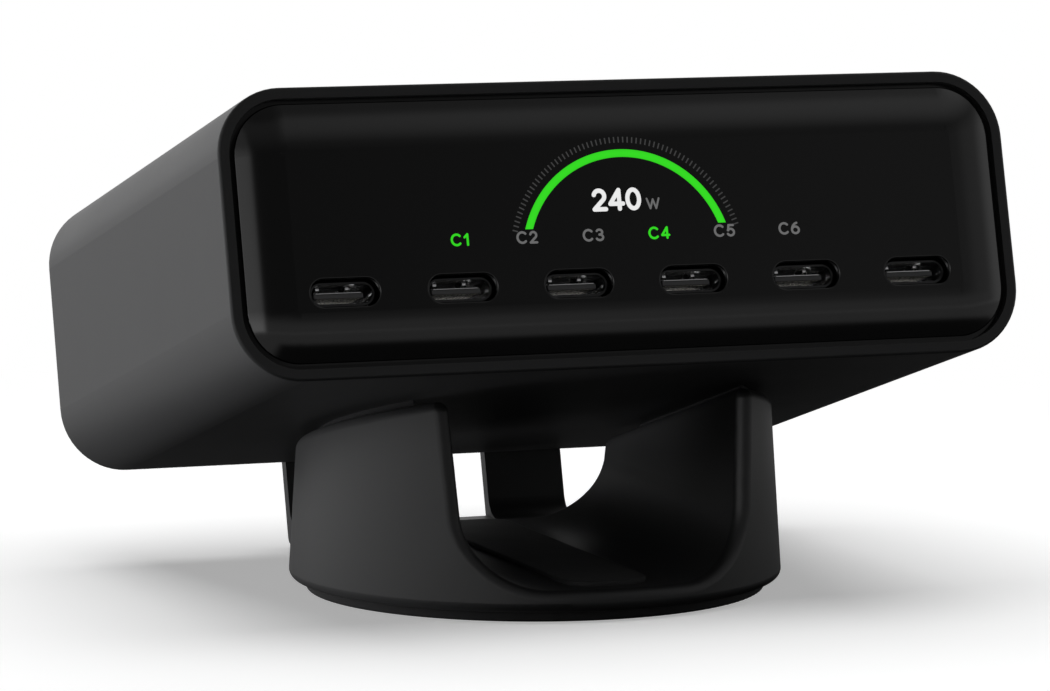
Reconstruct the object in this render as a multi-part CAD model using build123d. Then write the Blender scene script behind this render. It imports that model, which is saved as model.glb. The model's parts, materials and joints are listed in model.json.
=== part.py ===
"""Desktop charger with six USB-C ports, leaning back on a round stand. Millimetres, +Z up, front at -Y.

The origin is the middle of the stand's foot on the table. The charger's own pieces are drawn in a level
body frame, with its origin at the middle of the sleeve's lower front edge, and then seated on the stand.
"""
import os
from math import cos, radians, sin, tan

from build123d import *

os.makedirs("parts", exist_ok=True)

# Sleeve
sleeve_width = 110.0
sleeve_height = 38.2
sleeve_depth = 85.4
sleeve_corner = 9.0
sleeve_wall = 1.5
sleeve_edge = 0.45
least_corner = 0.5

# Seat of the sleeve on the stand: lean, height of the underside over the stand's axis, and how far the
# middle of the sleeve's depth lies behind that axis
body_pitch = 15.0
seat_height = 24.05
balance_shift = 1.445

# Front and rear panels: a groove runs round each, and a flange behind it fills the sleeve
groove_width = 0.7
groove_depth = 1.2
flange_thickness = 2.0
panel_fit = 0.05
panel_rise = 1.55
crown_height = 1.75
crown_edge = 0.3
rear_rise = 1.5
rear_edge = 0.8

# Ports
port_count = 6
port_margin = 1.8
port_lift = 0.7
cutout_width = 9.4
cutout_height = 3.6
cutout_edge = 0.2
shell_width = 8.94
shell_height = 3.26
shell_wall = 0.35
shell_length = 9.5
shell_setback = 1.5
shell_edge = 0.12
tongue_width = 6.69
tongue_thickness = 0.7
tongue_setback = 1.4
tongue_edge = 0.15
back_block_length = 3.0
contact_count = 12
contact_pitch = 0.5
contact_width = 0.25
contact_length = 3.0
contact_thickness = 0.05

# Boards and the tray that carries them
board_thickness = 1.6
board_gap = 0.2
tray_thickness = 1.2
rib_width = 3.0
rib_inset = 3.0
port_board_side = 6.0
port_board_depth = 22.0
main_board_side = 10.0
main_board_gap = 2.0
main_board_lift = 2.5

# Lit module behind the front panel
display_width = 58.0
display_top_gap = 3.17
display_thickness = 2.2
display_gap = 2.4

# Parts on the boards
inductor_count = 3
inductor_size = 8.0
inductor_height = 4.5
inductor_corner = 1.0
can_radius = 3.15
can_height = 8.0
can_offset = 11.0
can_edge = 0.5
transformer_width = 30.0
boost_edge_gap = 1.5
boost_depth = 20.0
line_width = 18.0
line_depth = 15.0
core_plate = 5.0
core_leg_share = 0.45
core_rim = 3.0
core_headroom = 2.0
winding_overhang = 1.5
bulk_count = 3
bulk_edge = 1.0
bulk_headroom = 1.5
bulk_gap = 1.65
film_width = 8.0
film_depth = 13.0
film_height = 14.0
rectifier_width = 15.0
rectifier_depth = 4.5
rectifier_height = 15.0
fuse_radius = 4.2
fuse_height = 7.5
corner_gap = 1.0
part_edge = 0.6
sink_thickness = 1.5
sink_overrun = 2.5
sink_gap = 2.5
spreader_thickness = 1.5
spreader_side = 13.0

# Mains inlet, two-pole
inlet_width = 20.0
inlet_height = 10.4
socket_lobe = 3.9
socket_waist = 6.2
socket_depth = 12.0
socket_floor = 2.4
collar_wall = 0.9
collar_fit = 0.1
pin_radius = 1.18
pin_spacing = 8.6
pin_recess = 2.0
pin_tail = 3.0
pin_clear = 5.6

# Stand: tapered round moulding with a U channel from front to back
stand_radius = 34.0
stand_draft = 3.6
stand_edge = 1.4
stand_base_edge = 1.2
lip_land = 0.2
block_width = 15.05
channel_draft = 3.6
channel_corner = 10.0
floor_height = 4.4
foot_inset = 2.5
foot_height = 1.5
foot_edge = 0.4
saddle_pad = 1.0
saddle_pad_inset = 1.6
strip_width = 12.0
strip_end_gap = 2.6
strip_corner = 4.0
strip_thickness = 0.6

# Stops at the back of the stand
stop_inner = 9.3
stop_outer = 21.1
stop_thickness = 1.8
stop_rise = 9.0
stop_corner = 3.0
stop_bend = 3.5
stop_heel = 1.2
stop_pad = 2.2
stop_pad_inset = 1.2
stop_pad_low = 3.6
tail_thickness = 1.5
tail_overlap = 8.0
tail_foot = 0.5
tail_foot_gap = 1.0
tail_foot_inset = 1.0

# Worked out from the sizes above
cavity_top = sleeve_height - sleeve_wall
mid_height = sleeve_height / 2
flange_back = groove_depth + flange_thickness
panel_face = -panel_rise
crown_start = crown_height - panel_rise
flat_inset = sleeve_corner - least_corner
flat_width = sleeve_width - 2 * flat_inset
crown_width = flat_inset - sleeve_wall - groove_width
port_height = flat_inset + port_lift + cutout_height / 2
port_pitch = (flat_width - 2 * port_margin - cutout_width) / (port_count - 1)
rear_outer = sleeve_depth + rear_rise
rear_inner = sleeve_depth - groove_depth - flange_thickness
shell_front = panel_face + shell_setback
port_board_top = port_height - shell_height / 2
port_board_front = flange_back + board_gap
port_board_width = sleeve_width - 2 * port_board_side
display_low = port_height + shell_height / 2 + display_gap
display_height = cavity_top - display_top_gap - display_low
main_board_front = port_board_front + port_board_depth + main_board_gap
main_board_back = rear_inner - board_gap
main_board_width = sleeve_width - 2 * main_board_side
main_board_depth = main_board_back - main_board_front
tray_top = sleeve_wall + tray_thickness
main_board_top = tray_top + main_board_lift + board_thickness
spreader_low = cavity_top - spreader_thickness
component_room = spreader_low - main_board_top
pin_back = rear_outer - socket_depth - socket_floor - pin_tail
core_room = pin_back - pin_clear - rectifier_depth - main_board_front
transformer_depth = core_room - sink_gap - 3 * winding_overhang
sink_side = transformer_width / 2 + sink_gap
bulk_radius = (main_board_depth - (bulk_count + 1) * bulk_gap) / (2 * bulk_count)
foot_radius = stand_radius - foot_inset
channel_width = 2 * (stand_radius - block_width)
stop_face = rear_outer + stop_pad
lip_edge = min(stand_edge, (floor_height - foot_height - lip_land) / 2)
base_edge = min(stand_base_edge, floor_height - foot_height - lip_edge - lip_land)
front_reach = sleeve_depth / 2 * cos(radians(body_pitch)) - balance_shift
seat_front = seat_height + front_reach * tan(radians(body_pitch))
body_place = Pos(0, -front_reach, seat_front) * Rot(-body_pitch, 0, 0)
body_up = Vector(0, sin(radians(body_pitch)), cos(radians(body_pitch)))
ON_BOARD = (Align.CENTER, Align.CENTER, Align.MIN)
tiny = 0.01


def prism(sketch, y_front, y_back):
    """Extrude a sketch drawn in X and Z between two depths."""
    return extrude(Plane.XZ.offset(-y_back) * sketch, y_back - y_front)


def outline(inset):
    """Return the sleeve's end outline, drawn in by an inset."""
    width = sleeve_width - 2 * inset
    height = sleeve_height - 2 * inset
    corner = max(sleeve_corner - inset, least_corner)
    return Pos(0, mid_height) * RectangleRounded(width, height, corner)


def table_point(y, z):
    """Return the table frame's Y and Z for a depth and a height in the body frame."""
    lean = radians(body_pitch)
    return -front_reach + y * cos(lean) + z * sin(lean), seat_front - y * sin(lean) + z * cos(lean)


def drop_to(y, height):
    """Return the table Y where the body frame's upright at a depth meets a height over the table."""
    foot_y, foot_z = table_point(y, 0)
    return foot_y - (foot_z - height) * tan(radians(body_pitch)), height


def make_sleeve():
    """Round tube wall, open at both ends, with its end edges broken."""
    tube = prism(outline(0), 0, sleeve_depth)
    ends = tube.faces().filter_by(Axis.Y)
    tube = fillet(ends.edges(), sleeve_edge)
    return tube - prism(outline(sleeve_wall), 0, sleeve_depth)


def port_places():
    """Return the ports' X positions, from the left."""
    first = -port_pitch * (port_count - 1) / 2
    return [first + port_pitch * index for index in range(port_count)]


def make_front_panel():
    """Crowned panel: an arc swept round a flat face, the side in the groove, and the flange behind."""
    path = (Plane.XZ * outline(sleeve_wall + groove_width)).wire()
    inward = Vector(0, -1, 0).cross(path % 0)
    rim = (0, -crown_start)
    brink = (crown_width, panel_rise)
    arc = TangentArc(brink, rim, tangent=(-1, 0))
    sides = Polyline(rim, (0, -groove_depth), (crown_width, -groove_depth), brink)
    section = Plane(path @ 0, x_dir=inward, z_dir=path % 0) * make_face(arc + sides)
    panel = sweep(section, path=path)
    panel += prism(outline(flat_inset), panel_face, groove_depth)
    rims = panel.edges().filter_by_position(Axis.Y, crown_start - tiny, crown_start + tiny)
    panel = fillet(rims, crown_edge)
    panel += prism(outline(sleeve_wall + panel_fit), groove_depth, flange_back)
    for x in port_places():
        slot = Pos(x, port_height) * SlotOverall(cutout_width, cutout_height)
        panel -= prism(slot, panel_face, flange_back)
    lips = panel.edges().filter_by(lambda edge: abs(edge.bounding_box().max.Y - panel_face) < tiny)
    lips = lips.filter_by(lambda edge: abs(edge.center().Z - port_height) <= cutout_height / 2)
    lips = lips.filter_by(lambda edge: edge.bounding_box().size.X <= cutout_width)
    return fillet(lips, cutout_edge)


def make_shell(x):
    """Drawn metal shell of one receptacle, open at both ends, with its mouth broken."""
    shell = prism(SlotOverall(shell_width, shell_height), 0, shell_length)
    mouth = shell.faces().sort_by(Axis.Y)[0]
    shell = fillet(mouth.edges(), shell_edge)
    bore = SlotOverall(shell_width - 2 * shell_wall, shell_height - 2 * shell_wall)
    shell -= prism(bore, 0, shell_length)
    return Pos(x, shell_front, port_height) * shell


def make_tongue(x):
    """Moulded back block that fills the shell, with the tongue that a plug goes over."""
    bore = SlotOverall(shell_width - 2 * shell_wall, shell_height - 2 * shell_wall)
    block_front = shell_length - back_block_length
    tongue = prism(Rectangle(tongue_width, tongue_thickness), tongue_setback, block_front)
    tongue = fillet(tongue.faces().sort_by(Axis.Y)[0].edges(), tongue_edge)
    tongue += prism(bore, block_front, shell_length)
    return Pos(x, shell_front, port_height) * tongue


def make_contacts(x):
    """Contact strips on both faces of one tongue."""
    reach = tongue_setback + 2 * tongue_edge + contact_length / 2
    strip = Box(contact_width, contact_length, contact_thickness)
    strips = []
    for index in range(contact_count):
        side = contact_pitch * (index - (contact_count - 1) / 2)
        for face in (-1, 1):
            height = face * (tongue_thickness + contact_thickness) / 2
            strips.append(Pos(x + side, shell_front + reach, port_height + height) * strip)
    return Compound(children=strips)


def make_display():
    """Flat module that shines through the front panel."""
    sketch = Pos(0, display_low + display_height / 2) * Rectangle(display_width, display_height)
    return prism(sketch, flange_back, flange_back + display_thickness)


def make_display_board():
    """Small board behind the lit module."""
    sketch = Pos(0, display_low + display_height / 2) * Rectangle(display_width, display_height)
    front = flange_back + display_thickness
    return prism(sketch, front, front + board_thickness)


def board(width, y_front, y_back, top):
    """Plain circuit board below a height."""
    middle = Pos(0, (y_front + y_back) / 2, top - board_thickness)
    return middle * Box(width, y_back - y_front, board_thickness, align=ON_BOARD)


def make_tray():
    """Tray on the sleeve's floor, with a pair of ribs under each board."""
    depth = main_board_back - port_board_front
    middle = (main_board_back + port_board_front) / 2
    tray = Pos(0, middle, sleeve_wall) * Box(main_board_width, depth, tray_thickness, align=ON_BOARD)
    side = main_board_width / 2 - rib_inset - rib_width / 2
    port_rib = port_board_top - board_thickness - tray_top
    main_middle = (main_board_front + main_board_back) / 2
    for x in (-side, side):
        front = Pos(x, port_board_front + port_board_depth / 2, tray_top)
        tray += front * Box(rib_width, port_board_depth, port_rib, align=ON_BOARD)
        back = Pos(x, main_middle, tray_top)
        tray += back * Box(rib_width, main_board_depth, main_board_lift, align=ON_BOARD)
    return tray


def boxed(width, depth, height, x, y, z):
    """Part with a moulded box outline, standing at a place."""
    body = Box(width, depth, height, align=ON_BOARD)
    return Pos(x, y, z) * fillet(body.edges().filter_by(Axis.Z), part_edge)


def can(radius, height, edge, x, y, z):
    """Capacitor can with a rounded top edge, standing at a place."""
    body = Cylinder(radius, height, align=ON_BOARD)
    return Pos(x, y, z) * fillet(body.edges().sort_by(Axis.Z)[-1], edge)


def wound_core(width, depth, height, x, y):
    """Ferrite core and the coil on its centre leg, standing on the main board."""
    window = width / 2 - core_rim
    coil_height = height - 2 * core_plate
    inner = Cylinder(core_leg_share * window, coil_height, align=ON_BOARD)
    space = Cylinder(window, coil_height, align=ON_BOARD) - inner
    core = Box(width, depth, height, align=ON_BOARD) - Pos(0, 0, core_plate) * space
    coil = Cylinder(min(window, depth / 2 + winding_overhang), coil_height, align=ON_BOARD) - inner
    place = Pos(x, y, main_board_top)
    return place * core, place * Pos(0, 0, core_plate) * coil


def inlet_shape(lobe, waist):
    """Outline of the two-pole inlet: a lobe round each pin and a waist between them."""
    shape = Rectangle(pin_spacing, waist)
    for x in (-pin_spacing / 2, pin_spacing / 2):
        shape += Pos(x, 0) * Circle(lobe)
    return Pos(0, main_board_top + inlet_height / 2) * shape


def make_rear_panel():
    """Flat rear panel with a broken edge, a flange behind it and the inlet's opening."""
    panel = prism(outline(sleeve_wall + groove_width), rear_inner, rear_outer)
    panel = fillet(panel.faces().sort_by(Axis.Y)[-1].edges(), rear_edge)
    flange_end = rear_inner + flange_thickness
    panel += prism(outline(sleeve_wall + panel_fit), rear_inner, flange_end)
    grown = collar_wall + collar_fit
    opening = inlet_shape(socket_lobe + grown, socket_waist + 2 * grown)
    return panel - prism(opening, rear_inner, rear_outer)


def make_inlet():
    """Inlet housing on the main board, with a collar through the rear panel and an open socket."""
    back = rear_outer - socket_depth - socket_floor
    block = Pos(0, main_board_top + inlet_height / 2) * Rectangle(inlet_width, inlet_height)
    inlet = prism(block, back, rear_inner)
    inlet += prism(inlet_shape(socket_lobe + collar_wall, socket_waist + 2 * collar_wall), back, rear_outer)
    inlet -= prism(inlet_shape(socket_lobe, socket_waist), rear_outer - socket_depth, rear_outer)
    for x in (-pin_spacing / 2, pin_spacing / 2):
        hole = Pos(x, main_board_top + inlet_height / 2) * Circle(pin_radius)
        inlet -= prism(hole, back, rear_outer - socket_depth)
    return inlet


def make_pins():
    """Pair of mains pins through the inlet's floor, rounded at the tip."""
    pins = []
    for x in (-pin_spacing / 2, pin_spacing / 2):
        disc = Pos(x, main_board_top + inlet_height / 2) * Circle(pin_radius)
        pin = prism(disc, pin_back, rear_outer - pin_recess)
        pins.append(fillet(pin.edges().sort_by(Axis.Y)[-1], pin_radius / 2))
    return Compound(children=pins)


def radius_at(height):
    """Return the stand's outer radius at a height over the table."""
    return stand_radius - height * tan(radians(stand_draft))


def seat_plane(depth):
    """Return the plane that lies a depth below the sleeve's underside."""
    return Plane(origin=(0, 0, seat_height - depth / cos(radians(body_pitch))), z_dir=body_up)


def stand_cone(inset, base, seat_depth):
    """Tapered round blank from a height up to the leaning seat."""
    top = seat_front + stand_radius
    cone = Cone(radius_at(base) - inset, radius_at(top) - inset, top - base, align=ON_BOARD)
    return split(Pos(0, 0, base) * cone, bisect_by=seat_plane(seat_depth), keep=Keep.BOTTOM)


def channel_cut(margin):
    """Cutter for the U channel, widened by a margin."""
    top = seat_front + stand_radius
    half = channel_width / 2 + margin
    flare = half + (top - floor_height) * tan(radians(channel_draft))
    low, high = floor_height - margin, top
    profile = Polygon((-half, low), (half, low), (flare, high), (-flare, high), align=None)
    profile = fillet(profile.vertices().group_by(Axis.Y)[0], channel_corner + margin)
    return extrude(Plane.XZ * profile, 2 * stand_radius, both=True)


def make_stops():
    """Two upright stops behind the sleeve, on a low tail that runs under the sleeve to the stand."""
    tail_low = tail_foot
    tail_top = foot_height + tail_thickness
    step = foot_radius + foot_edge
    inside = stand_radius - tail_overlap
    front_low = drop_to(stop_face, tail_top)
    back_low = drop_to(stop_face + stop_thickness, tail_low)
    front_high = table_point(stop_face, stop_rise)
    back_high = table_point(stop_face + stop_thickness, stop_rise)
    low_side = [(inside, foot_height), (step, foot_height), (step, tail_low), back_low]
    flat = Polygon(*low_side, (back_low[0], tail_top), (inside, tail_top), align=None)
    profile = Polygon(*low_side, back_high, front_high, front_low, (inside, tail_top), align=None)
    corners = profile.vertices()
    bend = corners.sort_by_distance((*front_low, 0))[0]
    profile = fillet(bend, stop_bend)
    heel = profile.vertices().sort_by_distance((*back_low, 0))[0]
    profile = fillet(heel, stop_heel)
    upright = Plane.YZ.offset(stop_inner) * profile
    stop = extrude(upright, stop_outer - stop_inner)
    crown = stop.edges().filter_by(lambda edge: abs(edge.length - stop_thickness) < tiny)
    crown = crown.sort_by(Axis.Z)[-2:]
    stop = fillet(crown, stop_corner)
    tail = extrude(Plane.YZ * flat, stop_inner, both=True)
    return stop + mirror(stop, about=Plane.YZ) + tail


def make_stand():
    """Stand moulding: tapered round blank, U channel, rounded edges, and the stops at the back."""
    blank = stand_cone(0, foot_height, saddle_pad) - channel_cut(0)
    tops = blank.faces().filter_by(lambda face: face.normal_at().dot(body_up) > 1 - tiny)
    wall = blank.faces().filter_by(GeomType.CONE)
    sharp = wall.edges().filter_by(GeomType.LINE, reverse=True) + tops.edges().filter_by(GeomType.LINE)
    sharp = [edge for edge in sharp if edge.bounding_box().max.Z > foot_height + lip_land]
    blank = fillet(sharp, lip_edge)
    base = blank.edges().group_by(Axis.Z)[0]
    blank = fillet(base, base_edge)
    return blank + make_stops()


def make_saddle_pads():
    """Pads on the stand's two seats, left and right, up to the sleeve's underside."""
    inset = stand_edge + saddle_pad_inset
    slab = stand_cone(inset, foot_height, 0) - stand_cone(inset, foot_height, saddle_pad)
    slab -= channel_cut(inset)
    return slab.solids().sort_by(Axis.X)


def make_stop_pad(side):
    """Pad between one stop and the rear panel."""
    width = stop_outer - stop_inner - 2 * stop_pad_inset
    height = stop_rise - stop_pad_inset - stop_pad_low
    middle = (stop_outer + stop_inner) / 2
    sketch = Pos(side * middle, stop_pad_low + height / 2) * RectangleRounded(width, height, stop_pad_inset)
    return prism(sketch, rear_outer, stop_face)


def make_tail_foot(side):
    """Low foot under one end of the stand's tail."""
    front = foot_radius + foot_edge + tail_foot_gap
    back = drop_to(stop_face + stop_thickness, tail_foot)[0] - stop_heel - tail_foot_inset
    width = stop_outer - stop_inner - 2 * tail_foot_inset
    corner = min(tail_foot_inset, (back - front) / 3)
    place = Pos(side * (stop_outer + stop_inner) / 2, (front + back) / 2)
    return extrude(place * RectangleRounded(width, back - front, corner), tail_foot)


def make_foot_pad():
    """Round pad that the stand rests on."""
    pad = Cylinder(foot_radius, foot_height, align=ON_BOARD)
    return fillet(pad.edges().sort_by(Axis.Z)[0], foot_edge)


def make_floor_strip():
    """Strip with rounded corners, along the channel's floor."""
    length = 2 * (radius_at(floor_height) - stand_edge - strip_end_gap)
    sketch = RectangleRounded(strip_width, length, strip_corner)
    strip = extrude(Pos(0, 0, floor_height) * sketch, strip_thickness)
    return fillet(strip.faces().sort_by(Axis.Z)[-1].edges(), strip_thickness / 2)


def make_body_parts():
    """Return the charger's pieces by name, in the body frame."""
    parts = {"sleeve": make_sleeve(), "front_panel": make_front_panel(), "rear_panel": make_rear_panel()}
    for number, x in enumerate(port_places(), 1):
        parts[f"usb_shell_{number}"] = make_shell(x)
        parts[f"usb_tongue_{number}"] = make_tongue(x)
        parts[f"usb_contacts_{number}"] = make_contacts(x)
    parts["display"] = make_display()
    parts["display_board"] = make_display_board()
    port_back = port_board_front + port_board_depth
    parts["port_board"] = board(port_board_width, port_board_front, port_back, port_board_top)
    parts["main_board"] = board(main_board_width, main_board_front, main_board_back, main_board_top)
    parts["tray"] = make_tray()
    parts["ac_inlet"] = make_inlet()
    parts["ac_pins"] = make_pins()

    row = port_back - inductor_size
    for number in range(1, inductor_count + 1):
        x = 2 * port_pitch * (number - (inductor_count + 1) / 2)
        coil = Box(inductor_size, inductor_size, inductor_height, align=ON_BOARD)
        coil = fillet(coil.edges().filter_by(Axis.Z), inductor_corner)
        parts[f"inductor_{number}"] = Pos(x, row, port_board_top) * coil
        spot = x - can_offset
        parts[f"output_cap_{number}"] = can(can_radius, can_height, can_edge, spot, row, port_board_top)

    tall = component_room - core_headroom
    core_row = main_board_front + transformer_depth / 2 + winding_overhang + sink_gap
    board_side = main_board_width / 2
    parts["transformer_core"], parts["transformer_coil"] = wound_core(
        transformer_width, transformer_depth, tall, 0, core_row)
    sink_depth = transformer_depth + 2 * sink_overrun
    for name, side in (("sink_primary", 1), ("sink_secondary", -1)):
        sink = Box(sink_thickness, sink_depth, component_room, align=ON_BOARD)
        x = side * (sink_side + sink_thickness / 2)
        parts[name] = Pos(x, core_row, main_board_top) * sink
    outer_room = sink_side + sink_thickness + sink_gap
    boost_width = board_side - boost_edge_gap - outer_room
    boost_x = -(outer_room + boost_width / 2)
    parts["boost_core"], parts["boost_coil"] = wound_core(boost_width, boost_depth, tall, boost_x, core_row)
    line_row = main_board_back - line_depth / 2 - winding_overhang
    parts["line_core"], parts["line_coil"] = wound_core(line_width, line_depth, tall, boost_x, line_row)

    bulk_x = (outer_room + board_side) / 2
    bulk_step = 2 * bulk_radius + bulk_gap
    for number in range(1, bulk_count + 1):
        y = main_board_front + bulk_radius + bulk_gap + bulk_step * (number - 1)
        height = component_room - bulk_headroom
        parts[f"bulk_cap_{number}"] = can(bulk_radius, height, bulk_edge, bulk_x, y, main_board_top)
    film_x = inlet_width / 2 + sink_gap + film_width / 2
    film_y = main_board_back - film_depth / 2 - corner_gap
    parts["film_cap"] = boxed(film_width, film_depth, film_height, film_x, film_y, main_board_top)
    rectifier_y = core_row + transformer_depth / 2 + 2 * winding_overhang + rectifier_depth / 2
    parts["rectifier"] = boxed(
        rectifier_width, rectifier_depth, rectifier_height, 0, rectifier_y, main_board_top)
    fuse_x = -(inlet_width / 2 + sink_gap + fuse_radius)
    fuse_y = main_board_back - fuse_radius - corner_gap
    parts["fuse"] = can(fuse_radius, fuse_height, part_edge, fuse_x, fuse_y, main_board_top)

    spreader_width = sleeve_width - 2 * spreader_side
    spreader = Box(spreader_width, main_board_depth, spreader_thickness, align=ON_BOARD)
    parts["heat_spreader"] = Pos(0, (main_board_back + main_board_front) / 2, spreader_low) * spreader
    parts["stop_pad_left"] = make_stop_pad(-1)
    parts["stop_pad_right"] = make_stop_pad(1)
    return {name: body_place * shape for name, shape in parts.items()}


def make_stand_parts():
    """Return the stand's pieces by name, in the table frame."""
    left_pad, right_pad = make_saddle_pads()
    return {
        "stand": make_stand(),
        "saddle_pad_left": left_pad,
        "saddle_pad_right": right_pad,
        "floor_strip": make_floor_strip(),
        "foot_pad": make_foot_pad(),
        "tail_foot_left": make_tail_foot(-1),
        "tail_foot_right": make_tail_foot(1),
    }


for node, shape in {**make_body_parts(), **make_stand_parts()}.items():
    export_step(shape, f"parts/{node}.step")
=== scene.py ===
"""Looks for a desktop charger on a round stand: finishes, lit gauge, receptacle springs and a studio.

Laid out as an add-on and run as a script. Sizes are metres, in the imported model's own frame. The charger's
pieces are drawn in a level body frame, with its origin at the middle of the sleeve's lower front edge, x to
the right, y to the back and z up, and then leaned back with the sleeve.
"""
import json
from math import acos, cos, pi, radians, sin

import bmesh
import bpy
from bpy.props import FloatProperty, FloatVectorProperty, IntProperty, PointerProperty
from mathutils import Euler, Matrix, Vector

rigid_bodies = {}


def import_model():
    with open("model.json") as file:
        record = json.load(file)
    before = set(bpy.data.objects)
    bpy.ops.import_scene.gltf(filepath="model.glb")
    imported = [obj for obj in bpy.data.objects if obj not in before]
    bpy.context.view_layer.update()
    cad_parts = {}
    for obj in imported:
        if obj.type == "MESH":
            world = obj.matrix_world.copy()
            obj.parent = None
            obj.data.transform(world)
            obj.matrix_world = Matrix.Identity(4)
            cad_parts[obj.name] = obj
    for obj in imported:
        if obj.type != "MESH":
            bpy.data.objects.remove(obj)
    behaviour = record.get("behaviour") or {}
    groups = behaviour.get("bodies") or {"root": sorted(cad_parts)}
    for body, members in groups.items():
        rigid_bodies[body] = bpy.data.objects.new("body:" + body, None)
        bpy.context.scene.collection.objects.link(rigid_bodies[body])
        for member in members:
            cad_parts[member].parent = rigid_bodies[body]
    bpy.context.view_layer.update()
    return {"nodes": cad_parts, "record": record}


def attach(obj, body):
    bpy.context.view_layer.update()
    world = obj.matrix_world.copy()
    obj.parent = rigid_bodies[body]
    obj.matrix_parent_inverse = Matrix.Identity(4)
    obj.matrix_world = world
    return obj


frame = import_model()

bl_info = {
    "name": "Desktop charger looks",
    "version": (1, 0, 0),
    "blender": (4, 5, 0),
    "location": "View3D > Sidebar > Charger",
    "description": "Finishes, gauge and receptacle details for a desktop charger on a round stand",
    "category": "Object",
}

MM = 0.001
BODY_NAME = "root"
PORTS_IN_USE = (1, 4)

# Scale along the depth of the lines in drawn and in plated metal, against 1 across it
DRAWN = 0.1
PLATED = 0.2

# Width of the pen and gap between letters, over the letters' height
FIGURE_PEN = (0.19, 0.03)
UNIT_PEN = (0.16, 0.0)
LABEL_PEN = (0.18, 0.13)

# Springs, ground plates and front bars in the receptacles
SPRING_SHEET = 0.12 * MM
PLATE_BACK_GAP = 3.0 * MM
PLATE_ROLL = 0.12 * MM
TONGUE_FACE = 0.35 * MM
BAR_DEPTH = 0.2 * MM
BAR_HEIGHT = 0.1 * MM
BAR_SETBACK = 0.22 * MM
BAR_LIFT = 0.04 * MM
BAR_ROUND = 0.03 * MM

# Points closer than this count as lying at one depth
NEARLY = 0.01 * MM

# The point that the lamps look at
TARGET = Vector((0, 0, 0.04))

# Each lamp's place, its width and height in metres, and its power in watts
LAMPS = {
    "floor_softbox": ((0.0, 0.1, 1.3), 1.6, 1.6, 18.0),
    "left_softbox": ((-1.75, 1.1, -0.45), 1.2, 0.5, 58.0),
    "back_softbox": ((1.1, 1.3, 1.1), 1.2, 0.8, 26.0),
    "mouth_softbox": ((-0.35, -1.0, 0.05), 0.3, 0.3, 2.6),
}

# Distances from the middle over which the floor's shadow fades to white
SHADOW_FADE = (0.13, 0.26)

# Ray lengths over which a mirror image of the floor turns to a grey card, and further off to white
MIRRORED_CARD = (0.13, 0.2)
MIRRORED_WHITE = (1.0, 3.0)

# Places to the sleeve's left over which a mirror image of the floor turns to the grey card
MIRRORED_LEFT = (-0.058, -0.085)

# The body frame, from the direction in which the ports point
PORTS = [mount for mount in frame["record"]["mounts"] if mount["name"].startswith("usb_port")]
SIDE = Vector((1, 0, 0))
BACK = -Vector(PORTS[0]["axis"]).normalized()
UP = SIDE.cross(BACK)
LEAN = Matrix((SIDE, BACK, UP)).transposed()


def leaning_box(node):
    """Return a node's lowest and highest corners along the body frame's directions."""
    points = [LEAN.transposed() @ vertex.co for vertex in frame["nodes"][node].data.vertices]
    low = Vector([min(point[axis] for point in points) for axis in range(3)])
    high = Vector([max(point[axis] for point in points) for axis in range(3)])
    return low, high


SLEEVE_LOW = leaning_box("sleeve")[0]
BODY_ORIGIN = Vector((0, SLEEVE_LOW.y, SLEEVE_LOW.z))
BODY = Matrix.Translation(LEAN @ BODY_ORIGIN) @ LEAN.to_4x4()
PANEL_FACE = leaning_box("front_panel")[0].y - BODY_ORIGIN.y
SHELL_LOW, SHELL_HIGH = [corner - BODY_ORIGIN for corner in leaning_box("usb_shell_1")]
TONGUE_LOW, TONGUE_HIGH = [corner - BODY_ORIGIN for corner in leaning_box("usb_tongue_1")]
PORT_X = [mount["pos_m"][0] for mount in PORTS]
PORT_Z = (SHELL_LOW.z + SHELL_HIGH.z) / 2


# Node graphs written as expressions


class Value:
    """Output socket that takes part in arithmetic by adding Math nodes."""

    def __init__(self, graph, socket):
        self.graph = graph
        self.socket = socket

    def math(self, operation, *others):
        """Add a Math node and return its result."""
        values = dict(enumerate((self, *others)))
        return self.graph.add("ShaderNodeMath", {"operation": operation}, values)

    def __add__(self, other):
        return self.math("ADD", other)

    def __radd__(self, other):
        return self.math("ADD", other)

    def __sub__(self, other):
        return self.math("SUBTRACT", other)

    def __rsub__(self, other):
        return self.math("MULTIPLY_ADD", -1.0, other)

    def __mul__(self, other):
        return self.math("MULTIPLY", other)

    def __rmul__(self, other):
        return self.math("MULTIPLY", other)

    def __truediv__(self, other):
        return self.math("DIVIDE", other)

    def __gt__(self, other):
        return self.math("GREATER_THAN", other)


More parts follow.
